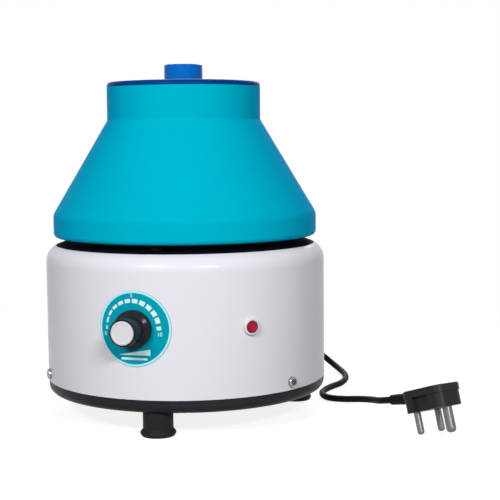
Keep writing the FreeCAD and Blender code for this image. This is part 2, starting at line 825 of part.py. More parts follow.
def motor_hanger():
    """The plate under the deck that carries the motor, with its rubber mounts, bolts and nuts."""
    plate = lathe("motor_plate", [
        ("motor_plate_bore", "motor_top"),
        ("motor_plate_radius", "motor_top"),
        ("motor_plate_radius", "motor_plate_top"),
        ("motor_plate_bore", "motor_plate_top"),
    ])
    angles = thirds(value("foot_angle"))
    circle = value("mount_reach")
    holes = [rod("plate_hole", "bolt_hole", "motor_plate_thick", upright(angle, circle, value("motor_top")))
             for angle in angles]
    keep(cut("motor_plate", plate, holes), "motor_plate")
    middle = "((motor_top + motor_plate_thick + shell_top) / 2)"
    for number, angle in enumerate(angles, start=1):
        mount = lathe("motor_mount_%d" % number, [
            ("bolt_hole", "motor_plate_top"),
            ("mount_radius", "motor_plate_top"),
            ("mount_radius", "motor_plate_top + mount_radius / 2"),
            ("mount_waist", middle),
            ("mount_radius", "shell_top - mount_radius / 2"),
            ("mount_radius", "shell_top"),
            ("bolt_hole", "shell_top"),
        ], upright(angle, circle, 0))
        keep(mount, "motor_mount_%d" % number)
    length = "deck_top - motor_top + bolt_nut_thick"
    bolts = [pan_head_screw("mount_bolt", upright(angle, circle, value("deck_top")), length,
                            "bolt_head_radius", "bolt_head_height", "bolt_radius") for angle in angles]
    keep(group("mount_bolts", bolts), "mount_bolts")
    nuts = [hex_nut("mount_nut", "bolt_nut_flats", "bolt_nut_thick", "bolt_radius + running_gap",
                    upright(angle, circle, value("motor_top - bolt_nut_thick"))) for angle in angles]
    keep(group("mount_nuts", nuts), "mount_nuts")


def armature():
    """The shaft with the wound core and the commutator on it."""
    start = "(motor_bottom - boss_height + 2 * bearing_lip + running_gap)"
    end = "(hub_boss_bottom + shaft_engagement - seat_gap)"
    shaft = lathe("motor_shaft", [
        ("0", start),
        ("shaft_radius", start),
        ("shaft_radius", end + " - shaft_radius / 4"),
        ("shaft_radius * 3 / 4", end),
        ("0", end),
    ])
    keep(shaft, "motor_shaft")
    core = "(field_bore - air_gap)"
    bore = "(shaft_radius + running_gap)"
    wound = lathe("armature_core", [
        (bore, "field_bottom - winding_overhang"),
        ("winding_radius", "field_bottom - winding_overhang", "winding_overhang / 2"),
        ("winding_radius", "field_bottom"),
        (core, "field_bottom"),
        (core, "field_top"),
        ("winding_radius", "field_top"),
        ("winding_radius", "field_top + winding_overhang", "winding_overhang / 2"),
        (bore, "field_top + winding_overhang"),
    ])
    keep(wound, "armature_core")
    segments = lathe("commutator", [
        (bore, "commutator_bottom"),
        ("commutator_radius", "commutator_bottom"),
        ("commutator_radius", "commutator_top"),
        (bore, "commutator_top"),
    ])
    keep(segments, "commutator")


# Terminal block where the lead is joined to the motor

def terminal_block():
    place = upright(value("terminal_angle"), value("terminal_reach"), value("pan_floor"))
    block = new_body("terminal_block", place)
    half_wide = "terminal_wide / 2"
    half_long = "terminal_long / 2"
    add_pad(block, [
        ("-" + half_wide, "-" + half_long),
        (half_wide, "-" + half_long),
        (half_wide, half_long),
        ("-" + half_wide, half_long),
    ], "terminal_high")
    pitch = value("terminal_long / terminal_ways")
    wells = []
    for way in range(int(value("terminal_ways"))):
        offset = V(0, (way + 0.5) * pitch - value(half_long), value("terminal_high / 3"))
        spot = place.multiply(FreeCAD.Placement(offset, FreeCAD.Rotation()))
        wells.append(rod("terminal_well", "terminal_long / terminal_ways / 3", "terminal_high", spot))
    return keep(cut("terminal_block", block, wells), "terminal_block")


# Spinning head

def head_shell():
    crease = "crease_drop"
    shell = lathe("head_shell", [
        ("neck_bore", "head_top"),
        ("neck_bore", "neck_bottom - " + crease),
        ("skirt_bore", "skirt_top - " + crease, "skirt_round - head_wall"),
        ("skirt_bore", "floor_top + ledge_thick + ledge_width"),
        ("skirt_bore - ledge_width", "floor_top + ledge_thick"),
        ("skirt_bore - ledge_width", "floor_top"),
        ("skirt_bore", "floor_top"),
        ("skirt_bore", "head_bottom + head_wall / 2"),
        ("skirt_bore - head_wall / 2", "head_bottom"),
        ("skirt_radius", "head_bottom", "rim_round"),
        ("skirt_radius", "skirt_top", "skirt_round"),
        ("neck_radius", "neck_bottom", "neck_round"),
        ("neck_radius", "head_top"),
    ])
    return keep(shell, "head_shell")


def head_floor():
    plate = lathe("head_floor", [
        ("column_radius + seat_gap", "floor_bottom"),
        ("skirt_bore - seat_gap", "floor_bottom"),
        ("skirt_bore - seat_gap", "floor_top"),
        ("column_radius + seat_gap", "floor_top"),
    ])
    holes = [rod("floor_hole", "screw_hole", "floor_thick", spot) for spot in floor_screw_spots("floor_bottom")]
    return keep(cut("head_floor", plate, holes), "head_floor")


def floor_screw_spots(height):
    return [upright(angle, value("floor_screw_reach"), value(height)) for angle in thirds(0)]


def plate_screw_spots(height):
    return [upright(angle, value("plate_screw_reach"), value(height)) for angle in thirds(0)]


def rotor_hub():
    """The hub on the motor shaft, with its column, and the flanges that carry floor and tube plate."""
    bore = "(shaft_radius + running_gap)"
    bore_end = "(hub_boss_bottom + shaft_engagement)"
    flange = "(floor_bottom - hub_flange_thick)"
    under = "(hub_top - hub_top_flange_thick)"
    stud_hole = "(stud_radius + running_gap)"
    hub = lathe("rotor_hub", [
        (bore, "hub_boss_bottom"),
        ("hub_boss_radius", "hub_boss_bottom"),
        ("hub_boss_radius", flange),
        ("hub_flange_radius", flange),
        ("hub_flange_radius", "floor_bottom"),
        ("column_radius", "floor_bottom"),
        ("column_radius", under + " - column_radius / 2"),
        ("hub_top_flange_radius", under),
        ("hub_top_flange_radius", "hub_top"),
        (stud_hole, "hub_top"),
        (stud_hole, "hub_top - stud_depth"),
        ("0", "hub_top - stud_depth"),
        ("0", bore_end),
        (bore, bore_end),
    ])
    low = "floor_top - screw_length - seat_gap"
    high = "ring_top - screw_length - seat_gap"
    holes = [rod("hub_floor_hole", "screw_hole", "screw_length", spot) for spot in floor_screw_spots(low)]
    holes += [rod("hub_plate_hole", "screw_hole", "screw_length", spot) for spot in plate_screw_spots(high)]
    keep(cut("rotor_hub", hub, holes), "rotor_hub")
    floor_screws = [pan_head_screw("floor_screw", spot) for spot in floor_screw_spots("floor_top")]
    keep(group("floor_screws", floor_screws), "floor_screws")
    plate_screws = [pan_head_screw("plate_screw", spot) for spot in plate_screw_spots("ring_top")]
    keep(group("plate_screws", plate_screws), "plate_screws")


def sleeve_place(step):
    """At the mouth of a sleeve on the tube plate, with local Z out of the mouth."""
    around = FreeCAD.Rotation(UP, 360 * step / value("tube_count"))
    lean = FreeCAD.Rotation(V(0, 1, 0), -value("cone_angle"))
    mouth = around.multVec(V(value("mouth_reach"), 0, value("mouth_height")))
    return FreeCAD.Placement(mouth, around.multiply(lean))


def tube_plate():
    """A funnel square to the tubes, with a flat ring on the hub and a spot-faced hole for each sleeve."""
    edge = "neck_bore - seat_gap"
    edge_top = "mouth_height + (neck_bore - seat_gap - mouth_reach) * tan(cone_angle)"
    plate = lathe("tube_plate", [
        ("tube_plate_bore", "hub_top"),
        ("hub_top_flange_radius", "hub_top"),
        (edge, edge_top + " - tube_plate_drop"),
        (edge, edge_top),
        ("hub_top_flange_radius", "ring_top"),
        ("tube_plate_bore", "ring_top"),
    ])
    holes = []
    for step in range(int(value("tube_count"))):
        below = FreeCAD.Placement(UP * -value("2 * tube_plate_thick"), FreeCAD.Rotation())
        holes.append(rod("tube_hole", "sleeve_radius + seat_gap", "4 * tube_plate_thick",
                         sleeve_place(step).multiply(below)))
        holes.append(rod("flange_seat", "sleeve_flange_radius + seat_gap", "2 * tube_plate_thick",
                         sleeve_place(step)))
    holes += [rod("ring_hole", "screw_hole", "tube_plate_drop", spot) for spot in plate_screw_spots("hub_top")]
    return keep(cut("tube_plate", plate, holes), "tube_plate")


def tube_sleeve(step):
    label = "tube_sleeve_%d" % (step + 1)
    sleeve = lathe(label, [
        ("0", "-sleeve_depth"),
        ("sleeve_radius", "-sleeve_depth", "sleeve_end_round"),
        ("sleeve_radius", "0"),
        ("sleeve_flange_radius", "0"),
        ("sleeve_flange_radius", "sleeve_flange_thick"),
        ("sleeve_radius", "sleeve_flange_thick"),
        ("sleeve_radius", "sleeve_rim"),
        ("sleeve_bore", "sleeve_rim"),
        ("sleeve_bore", "-sleeve_depth + sleeve_wall", "sleeve_end_round - sleeve_wall"),
        ("0", "-sleeve_depth + sleeve_wall"),
    ], sleeve_place(step))
    return keep(sleeve, label)


# Lid

def head_lid():
    hole = "(stud_radius + lid_hole_gap)"
    spigot = "(neck_bore - 2 * seat_gap)"
    lid = lathe("head_lid", [
        (hole, "head_top"),
        (spigot + " - lid_spigot_wall", "head_top"),
        (spigot + " - lid_spigot_wall", "head_top - lid_spigot_depth"),
        (spigot, "head_top - lid_spigot_depth"),
        (spigot, "head_top"),
        ("lid_radius", "head_top"),
        ("lid_radius", "lid_top", "lid_round"),
        (hole, "lid_top"),
    ])
    keep(lid, "head_lid")
    washer = lathe("knob_washer", [
        (hole, "lid_top"),
        ("washer_radius", "lid_top"),
        ("washer_radius", "knob_seat - running_gap"),
        (hole, "knob_seat - running_gap"),
    ])
    keep(washer, "knob_washer")
    knob_top = "(knob_seat + lid_knob_height)"
    bore_end = "(knob_seat + lid_knob_bore_depth)"
    knob = lathe("lid_knob", [
        (hole, "knob_seat"),
        ("lid_knob_radius", "knob_seat", "lid_knob_round / 2"),
        ("lid_knob_radius", knob_top, "lid_knob_round"),
        ("0", knob_top),
        ("0", bore_end),
        (hole, bore_end),
    ])
    keep(knob, "lid_knob")
    stud = lathe("lid_stud", [
        ("0", "hub_top - stud_depth + seat_gap"),
        ("stud_radius", "hub_top - stud_depth + seat_gap"),
        ("stud_radius", bore_end + " - stud_end_gap - stud_radius / 4"),
        ("stud_radius * 3 / 4", bore_end + " - stud_end_gap"),
        ("0", bore_end + " - stud_end_gap"),
    ])
    keep(stud, "lid_stud")


# Power lead and plug

def cord_gland():
    catch = "-(shell_wall + gland_catch)"
    gland = lathe("cord_gland", [
        ("0", "-gland_depth"),
        ("gland_barrel_radius - gland_catch", "-gland_depth"),
        ("gland_barrel_radius", catch),
        ("gland_barrel_radius", "seat_gap * 3"),
        ("gland_flange_radius", "seat_gap * 3"),
        ("gland_flange_radius", "gland_flange_thick", "gland_flange_thick / 3"),
        ("gland_root_radius", "gland_flange_thick"),
        ("gland_tip_radius", "gland_reach"),
        ("0", "gland_reach"),
    ], outward(value("cord_angle"), value("shell_radius"), value("cord_height")))
    return keep(gland, "cord_gland")


# Where the lead lies, chosen by hand between the gland and the boot of the plug
CORD_ROUTE = [
    (88, 147, 37),
    (106, 156, 25),
    (122.5, 153, 12),
    (133, 139, 4.4),
    (137.5, 118, 2.7),
    (136.5, 96, 2.7),
    (130, 75, 2.7),
    (117.5, 58, 2.7),
    (109, 38, 2.7),
    (111, 17, 2.8),
    (123.5, 3, 4.2),
    (136, -8, 6.6),
    (143.4, -21.5, 8.8),
    (146.1, -35, 11),
]
EXIT_RUN = 18
BOOT_RUN = 14


def plug_place():
    """At the middle of the line pins' roots: local X along the plug, local Z out of its back."""
    heading = FreeCAD.Rotation(UP, value("plug_heading"))
    tilt = FreeCAD.Rotation(V(0, 1, 0), -value("plug_tilt"))
    height = value("(line_pin_length - line_pin_round) * cos(plug_tilt) + line_pin_round"
                   " + (line_pin_radius - line_pin_round) * sin(plug_tilt)")
    return FreeCAD.Placement(V(value("plug_x"), value("plug_y"), height), heading.multiply(tilt))


def boot_place():
    """At the middle of the boot's root on the plug, with local Z along the boot."""
    root = V(-value("plug_back"), 0, value("boot_height"))
    backward = FreeCAD.Rotation(V(0, 1, 0), value("boot_lift") - 90)
    return plug_place().multiply(FreeCAD.Placement(root, backward))


def cord_points():
    out = radial(value("cord_angle"))
    exit_reach = value("shell_radius + gland_reach")
    rise = UP * value("cord_height")
    boot_end = UP * value("boot_length")
    points = [out * exit_reach + rise, out * (exit_reach + EXIT_RUN) + rise]
    points += [V(*point) for point in CORD_ROUTE]
    points += [boot_place().multVec(boot_end + UP * BOOT_RUN), boot_place().multVec(boot_end)]
    return points


def power_cord():
    """A round tube along straight runs joined by tangent arcs."""
    points = cord_points()
    edges = []
    radii = []
    start = points[0]
    for before, corner, after in zip(points, points[1:], points[2:]):
        shorter = min((corner - before).Length, (after - corner).Length)
        turn = (corner - before).getAngle(after - corner)
        reach = 0.45 * shorter
        radii.append(reach / math.tan(turn / 2))
        enter = corner + (before - corner).normalize() * reach
        leave = corner + (after - corner).normalize() * reach
        inward = ((before - corner).normalize() + (after - corner).normalize()).normalize()
        slant = math.hypot(reach, radii[-1])
        edges.append(Part.LineSegment(start, enter).toShape())
        edges.append(Part.Arc(enter, corner + inward * (slant - radii[-1]), leave).toShape())
        start = leave
    edges.append(Part.LineSegment(start, points[-1]).toShape())
    path = Part.Wire(edges)
    ring = Part.Wire(Part.Circle(points[0], points[1] - points[0], value("cord_radius")).toShape())
    cord = doc.addObject("Part::Feature", "power_cord")
    cord.Shape = path.makePipeShell([ring], True, False)
    section = math.pi * value("cord_radius") ** 2
    print("cord length %.1f" % path.Length)
    print("cord volume over section times length %.4f" % (cord.Shape.Volume / section / path.Length))
    print("cord bend radii " + " ".join("%.0f" % radius for radius in radii))
    return keep(cord, "power_cord")


def plug_outline(margin):
    front = "(plug_front + %s)" % margin
    back_half = "(plug_back_half + %s)" % margin
    front_half = "(plug_front_half + %s)" % margin
    return [
        ("-plug_back", "-" + back_half, "plug_back_round"),
        (front, "-" + front_half, "plug_front_round"),
        (front, front_half, "plug_front_round"),
        ("-plug_back", back_half, "plug_back_round"),
    ]


def side_half(along):
    """Half the plug's width at a place along it."""
    slope = "(plug_front_half - plug_back_half) / (plug_front + plug_back)"
    return "(plug_back_half + (%s + plug_back) * %s)" % (along, slope)


def plug_body():
    """A tapered plug top with an overhanging back and a finger grip in each side."""
    plug = new_body("plug_body", plug_place())
    add_pad(plug, plug_outline("0"), "plug_thick - plug_lip_thick")
    add_pad(plug, plug_outline("plug_lip_overhang"), "plug_lip_thick", "plug_thick - plug_lip_thick")
    for side in ("", "-"):
        grip = plug.newObject("PartDesign::Pocket", "plug_grip")
        grip.Profile = new_sketch(plug, "XY_Plane", [
            ("grip_start", side + "(%s - grip_depth)" % side_half("grip_start")),
            ("grip_end", side + "(%s - grip_depth)" % side_half("grip_end")),
            ("grip_end", side + "(%s + grip_depth)" % side_half("grip_end")),
            ("grip_start", side + "(%s + grip_depth)" % side_half("grip_start")),
        ])
        grip.setExpression("Length", bind("plug_thick - plug_lip_thick"))
        grip.Reversed = True
        doc.recompute()
    top = value("plug_thick")
    hard = plug.Tip
    rim = ["Edge%d" % number for number, edge in enumerate(hard.Shape.Edges, start=1)
           if all(abs(vertex.Z - top) < 1e-6 for vertex in edge.Vertexes)]
    soft = plug.newObject("PartDesign::Fillet", "plug_soft_edge")
    soft.Base = (hard, rim)
    soft.setExpression("Radius", bind("plug_edge_round"))
    doc.recompute()
    return keep(plug, "plug_body")


def plug_fittings(plug):
    def at(x, y, z):
        return plug_place().multiply(FreeCAD.Placement(V(x, y, z), FreeCAD.Rotation()))

    half = value("pin_spacing / 2")
    pins = (("plug_pin_live", at(0, -half, 0), "line_pin"), ("plug_pin_neutral", at(0, half, 0), "line_pin"),
            ("plug_pin_earth", at(value("earth_offset"), 0, 0), "earth_pin"))
    for label, place, kind in pins:
        pin = lathe(label, [
            ("0", "-%s_length" % kind),
            ("%s_radius" % kind, "-%s_length" % kind, "%s_round" % kind),
            ("%s_radius" % kind, "0"),
            ("0", "0"),
        ], place)
        keep(pin, label)
    boot = lathe("plug_boot", [
        ("0", "-boot_sink"),
        ("boot_root_radius", "-boot_sink"),
        ("boot_root_radius", "boot_length / 4"),
        ("boot_tip_radius", "boot_length"),
        ("0", "boot_length"),
    ], boot_place())
    keep(cut("plug_boot", boot, [plug]), "plug_boot")


body_shell()
top_deck()
base_pan()
for number, angle in enumerate(thirds(value("foot_angle")), start=1):
    suction_foot(number, angle)
screw_groups()
dial_plate()
speed_knob()
regulator()
lamp()
motor()
motor_hanger()
armature()
terminal_block()
head_shell()
head_floor()
rotor_hub()
tube_plate()
for step in range(int(value("tube_count"))):
    tube_sleeve(step)
head_lid()
cord_gland()
power_cord()
plug_fittings(plug_body())
doc.recompute()

for obj in doc.Objects:
    if "Invalid" in obj.State or "Error" in obj.State:
        raise RuntimeError("%s failed: %s" % (obj.Label, obj.State))
for node in NODES:
    if node.Shape.isNull() or not node.Shape.isValid():
        raise RuntimeError("%s has no valid shape" % node.Label)

os.makedirs("parts", exist_ok=True)
for node in NODES:
    node.Shape.exportStep("parts/%s.step" % node.Label)
print("%d nodes written" % len(NODES))
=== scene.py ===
import json
import math

import bpy
from mathutils import Matrix, Vector

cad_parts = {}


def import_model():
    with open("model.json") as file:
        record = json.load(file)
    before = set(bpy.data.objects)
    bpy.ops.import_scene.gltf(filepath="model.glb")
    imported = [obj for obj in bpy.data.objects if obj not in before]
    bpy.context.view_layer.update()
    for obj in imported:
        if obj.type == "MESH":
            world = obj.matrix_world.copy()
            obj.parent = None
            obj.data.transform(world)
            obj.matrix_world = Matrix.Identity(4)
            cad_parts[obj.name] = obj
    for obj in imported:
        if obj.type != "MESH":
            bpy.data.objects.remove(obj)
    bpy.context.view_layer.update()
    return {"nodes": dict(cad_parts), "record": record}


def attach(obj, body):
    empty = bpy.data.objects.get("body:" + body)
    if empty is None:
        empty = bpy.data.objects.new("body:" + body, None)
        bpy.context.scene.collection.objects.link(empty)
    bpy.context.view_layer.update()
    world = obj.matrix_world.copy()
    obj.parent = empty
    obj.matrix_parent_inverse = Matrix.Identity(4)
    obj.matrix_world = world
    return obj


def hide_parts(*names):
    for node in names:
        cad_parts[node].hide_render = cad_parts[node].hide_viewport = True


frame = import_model()
NODES = frame["nodes"]
MM = 0.001
UP = Vector((0, 0, 1))

# Camera of the photograph: where it stands, how it turns, and its focal length on a film of this width
CAMERA_PLACE = Vector((17.99, -974.51, 214.98)) * MM
CAMERA_PITCH = 5.29
CAMERA_YAW = -1.9
CAMERA_ROLL = -0.5
CAMERA_LENS = 89.98
FILM_WIDTH = 36

# Driving sizes shared with the solids, in millimetres and degrees
SHELL_RADIUS = 107.75
DIAL_ANGLE = -19
DIAL_HEIGHT = 79.5
DIAL_FACE = 0.65
DIAL_RADIUS = 26.9
SCREW_COUNT = 3
SCREW_ANGLE = 46
SCREW_HEIGHT = 34.5
SCREW_FACE = 2.45
CORD_ANGLE = 150
CORD_HEIGHT = 45
GLAND_REACH = 24
CORD_RADIUS = 2.6


def radial(angle):
    """The level direction away from the spin axis, counted from the front towards the right."""
    turn = math.radians(angle)
    return Vector((math.sin(turn), -math.cos(turn), 0))


# Shader building blocks

NOISE_LOW = 0.3
NOISE_HIGH = 0.7
PATCH_SCALE = 14
GRAIN_DETAIL = 4
GRAIN_DISTANCE = 0.0002
COAT_ROUGHNESS = 0.07
SHEEN_ROUGHNESS = 0.65


def new_material(name):
    material = bpy.data.materials.new(name)
    material.use_nodes = True
    tree = material.node_tree
    return material, tree, tree.nodes["Principled BSDF"]


def add(tree, kind, **inputs):
    """A node with values on its inputs, named by socket."""
    node = tree.nodes.new(kind)
    for socket, value in inputs.items():
        node.inputs[socket.replace("_", " ")].default_value = value
    return node


def noise(tree, scale, detail=3, stretch=None):
    """Noise in the object's own space; stretch squeezes or draws it out along each axis."""
    place = tree.nodes.new("ShaderNodeTexCoord")
    vector = place.outputs["Object"]
    if stretch:
        mapping = add(tree, "ShaderNodeMapping", Scale=stretch)
        tree.links.new(vector, mapping.inputs["Vector"])
        vector = mapping.outputs["Vector"]
    node = add(tree, "ShaderNodeTexNoise", Scale=scale, Detail=detail)
    tree.links.new(vector, node.inputs["Vector"])
    return node.outputs["Fac"]


def spread(tree, value, low, high):
    """Maps the range where most of the noise lies to a range of values."""
    node = add(tree, "ShaderNodeMapRange", From_Min=NOISE_LOW, From_Max=NOISE_HIGH, To_Min=low, To_Max=high)
    tree.links.new(value, node.inputs["Value"])
    return node.outputs["Result"]


def blend_colours(tree, value, first, second):
    node = tree.nodes.new("ShaderNodeMix")
    node.data_type = "RGBA"
    colour_inputs = [socket for socket in node.inputs if socket.type == "RGBA"]
    colour_inputs[0].default_value = (*first, 1)
    colour_inputs[1].default_value = (*second, 1)
    tree.links.new(value, node.inputs["Factor"])
    return [socket for socket in node.outputs if socket.type == "RGBA"][0]


def bump(tree, bsdf, height, strength, distance):
    node = add(tree, "ShaderNodeBump", Strength=strength, Distance=distance)
    tree.links.new(height, node.inputs["Height"])
    tree.links.new(node.outputs["Normal"], bsdf.inputs["Normal"])


def surface(name, colour, shade, roughness, grain, depth, metallic=0.0, coat=0.0, specular=0.5,
            stretch=None, sheen=None):
    """A finish with uneven colour, uneven gloss and a fine grain; a sheen tints its edges."""
    material, tree, bsdf = new_material(name)
    patches = spread(tree, noise(tree, PATCH_SCALE), 0, 1)
    tree.links.new(blend_colours(tree, patches, colour, shade), bsdf.inputs["Base Color"])
    fine = noise(tree, grain, GRAIN_DETAIL, stretch)
    tree.links.new(spread(tree, fine, *roughness), bsdf.inputs["Roughness"])
    bump(tree, bsdf, fine, depth, GRAIN_DISTANCE)
    bsdf.inputs["Metallic"].default_value = metallic
    bsdf.inputs["Specular IOR Level"].default_value = specular
    bsdf.inputs["Coat Weight"].default_value = coat
    bsdf.inputs["Coat Roughness"].default_value = COAT_ROUGHNESS
    if sheen:
        bsdf.inputs["Sheen Weight"].default_value = 1
        bsdf.inputs["Sheen Roughness"].default_value = SHEEN_ROUGHNESS
        bsdf.inputs["Sheen Tint"].default_value = (*sheen, 1)
    return material


# Finishes: a colour and the shade that it drifts to, the range of its roughness, and the scale and
# depth of its grain, which is drawn into rings on turned metal and into layers on the iron core

TURNED = (1, 1, 60)
LAYERED = (1, 1, 30)

FINISHES = {
    "shell_white": dict(
        colour=(0.76, 0.745, 0.80), shade=(0.745, 0.73, 0.785), roughness=(0.30, 0.34),
        grain=260, depth=0.002, coat=0.12, specular=0.06),
    "deck_black": dict(
        colour=(0.002, 0.003, 0.008), shade=(0.003, 0.004, 0.010), roughness=(0.55, 0.70),
        grain=700, depth=0.02, specular=0.012),
    "pan_black": dict(
        colour=(0.017, 0.016, 0.021), shade=(0.022, 0.021, 0.026), roughness=(0.34, 0.46),
        grain=1400, depth=0.05, specular=0.08),
    "rubber_black": dict(
        colour=(0.012, 0.012, 0.013), shade=(0.018, 0.018, 0.019), roughness=(0.50, 0.70),
        grain=1800, depth=0.25, specular=0.12),
    "screw_steel": dict(
        colour=(0.36, 0.35, 0.35), shade=(0.28, 0.27, 0.27), roughness=(0.14, 0.28),
        grain=2600, depth=0.08, metallic=1.0),
    "screw_black": dict(
        colour=(0.012, 0.012, 0.016), shade=(0.018, 0.018, 0.022), roughness=(0.30, 0.45),
        grain=2600, depth=0.08, specular=0.1),
    # Painted shade: near black that stands in for the shade in the cross recesses of the screw heads
    "slot_painted_shade": dict(
        colour=(0.03, 0.03, 0.03), shade=(0.05, 0.05, 0.05), roughness=(0.40, 0.55),
        grain=2600, depth=0.08),
    "dial_teal": dict(
        colour=(0.0, 0.325, 0.43), shade=(0.0, 0.305, 0.41), roughness=(0.30, 0.40),
        grain=1500, depth=0.03, specular=0.06),
    "dial_white": dict(
        colour=(0.66, 0.88, 0.92), shade=(0.62, 0.84, 0.89), roughness=(0.35, 0.45),
        grain=2200, depth=0.03),
    "dial_border": dict(
        colour=(0.44, 0.84, 0.91), shade=(0.40, 0.80, 0.88), roughness=(0.35, 0.45),
        grain=2200, depth=0.03),
    "knob_black": dict(
        colour=(0.012, 0.012, 0.018), shade=(0.017, 0.017, 0.024), roughness=(0.16, 0.22),
        grain=1600, depth=0.02, specular=0.11),
    "cap_grey": dict(
        colour=(0.71, 0.68, 0.72), shade=(0.67, 0.64, 0.68), roughness=(0.34, 0.46),
        grain=1200, depth=0.04, specular=0.12),
    "bezel_white": dict(
        colour=(0.76, 0.70, 0.74), shade=(0.72, 0.66, 0.70), roughness=(0.22, 0.32),
        grain=1500, depth=0.03, specular=0.3),
    "cast_alloy": dict(
        colour=(0.46, 0.47, 0.48), shade=(0.38, 0.39, 0.40), roughness=(0.40, 0.60),
        grain=900, depth=0.35, metallic=1.0),
    "steel_plain": dict(
        colour=(0.50, 0.50, 0.51), shade=(0.43, 0.43, 0.44), roughness=(0.22, 0.38),
        grain=600, depth=0.10, metallic=1.0, stretch=TURNED),
    "iron_core": dict(
        colour=(0.10, 0.10, 0.11), shade=(0.07, 0.07, 0.075), roughness=(0.45, 0.60),
        grain=300, depth=0.30, metallic=0.8, stretch=LAYERED),
    "copper_bars": dict(
        colour=(0.66, 0.33, 0.20), shade=(0.52, 0.25, 0.15), roughness=(0.25, 0.40),
        grain=900, depth=0.10, metallic=1.0),
    "carbon_black": dict(
        colour=(0.02, 0.02, 0.02), shade=(0.03, 0.03, 0.03), roughness=(0.45, 0.60),
        grain=1500, depth=0.12),
    "terminal_cream": dict(
        colour=(0.62, 0.58, 0.47), shade=(0.57, 0.53, 0.42), roughness=(0.35, 0.50),
        grain=1200, depth=0.08),
    "head_teal": dict(
        colour=(0.0, 0.43, 0.55), shade=(0.0, 0.415, 0.535), roughness=(0.36, 0.44),
        grain=400, depth=0.01, specular=0.004, sheen=(0.0, 0.05, 0.35)),
    "lid_blue": dict(
        colour=(0.0, 0.045, 0.22), shade=(0.0, 0.040, 0.20), roughness=(0.26, 0.36),
        grain=1000, depth=0.03, specular=0.02),
    "knob_blue": dict(
        colour=(0.0, 0.150, 0.55), shade=(0.0, 0.135, 0.52), roughness=(0.16, 0.22),
        grain=600, depth=0.01, specular=0.07),
    "sleeve_alloy": dict(
        colour=(0.60, 0.61, 0.62), shade=(0.53, 0.54, 0.55), roughness=(0.26, 0.42),
        grain=500, depth=0.12, metallic=1.0, stretch=TURNED),
    "cord_black": dict(
        colour=(0.006, 0.006, 0.007), shade=(0.009, 0.009, 0.010), roughness=(0.50, 0.65),
        grain=1500, depth=0.06, specular=0.04),
    "plug_black": dict(
        colour=(0.013, 0.012, 0.016), shade=(0.018, 0.017, 0.021), roughness=(0.32, 0.46),
        grain=1700, depth=0.10, specular=0.14),
    "pin_nickel": dict(
        colour=(0.20, 0.185, 0.18), shade=(0.15, 0.14, 0.135), roughness=(0.26, 0.34),
        grain=1800, depth=0.01, metallic=1.0),
}

# Lens of the pilot lamp: its middle, how far from there its painted shade begins and is full, and its
# finish
LENS_ANGLE = 26.4
LENS_REACH = 110
LENS_HEIGHT = 78.6
LENS_BRIGHT = 1.0
LENS_DARK = 5.2
LENS_COLOUR = (0.50, 0.006, 0.05)
# Painted shade: the darker red that the lens takes at its rim
LENS_PAINTED_SHADE_COLOUR = (0.20, 0.001, 0.02)
LENS_ROUGHNESS = (0.08, 0.16)
LENS_GRAIN = 1200
LENS_CELLS = 900
LENS_CELL_DEPTH = 0.15
LENS_CELL_DISTANCE = 0.0003
LENS_SPECULAR = 0.15


def lens_red():
    """Red plastic with small cells inside, with painted shade that darkens it towards its rim."""
    material, tree, bsdf = new_material("lens_red")
    cells = add(tree, "ShaderNodeTexVoronoi", Scale=LENS_CELLS)
    place = tree.nodes.new("ShaderNodeTexCoord")
    tree.links.new(place.outputs["Object"], cells.inputs["Vector"])
    reach = add(tree, "ShaderNodeVectorMath")
    reach.operation = "DISTANCE"
    reach.inputs[1].default_value = (radial(LENS_ANGLE) * LENS_REACH + UP * LENS_HEIGHT) * MM
    tree.links.new(place.outputs["Object"], reach.inputs[0])
    # Painted shade: the red darkens with the distance from the middle of the lens out to its rim
    depth = add(tree, "ShaderNodeMapRange", From_Min=LENS_BRIGHT * MM, From_Max=LENS_DARK * MM)
    tree.links.new(reach.outputs["Value"], depth.inputs["Value"])
    red = blend_colours(tree, depth.outputs["Result"], LENS_COLOUR, LENS_PAINTED_SHADE_COLOUR)
    tree.links.new(red, bsdf.inputs["Base Color"])
    tree.links.new(spread(tree, noise(tree, LENS_GRAIN), *LENS_ROUGHNESS), bsdf.inputs["Roughness"])
    bump(tree, bsdf, cells.outputs["Distance"], LENS_CELL_DEPTH, LENS_CELL_DISTANCE)
    bsdf.inputs["Specular IOR Level"].default_value = LENS_SPECULAR
    return material


MATERIALS = {name: surface(name, **finish) for name, finish in FINISHES.items()}
MATERIALS["lens_red"] = lens_red()

# Solids that the photograph shows darker than the finish of their slot
OTHER_FINISH = {
    "deck_screws": "screw_black",
    "mount_bolts": "screw_black",
    "plug_boot": "cord_black",
}


def paint_nodes():
    """Every other solid takes the finish of the slot that the record gives it."""
    for entry in frame["record"]["subparts"]:
        name = entry["node"]
        finish = OTHER_FINISH.get(name, entry["material_slot"])
        coats = NODES[name].data.materials
        coats.clear()
        coats.append(MATERIALS[finish])


# Pieces

def add_piece(name, data, body, material):
    obj = bpy.data.objects.new(name, data)
    bpy.context.scene.collection.objects.link(obj)
    obj.data.materials.append(MATERIALS[material])
    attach(obj, body)
    return obj


def mesh_from(name, points, faces):
    mesh = bpy.data.meshes.new(name)
    mesh.from_pydata([tuple(point) for point in points], [], faces)
    mesh.update()
    return mesh


# Printing on the dial, wrapped round the shell: places in millimetres from its centre, seen from in front

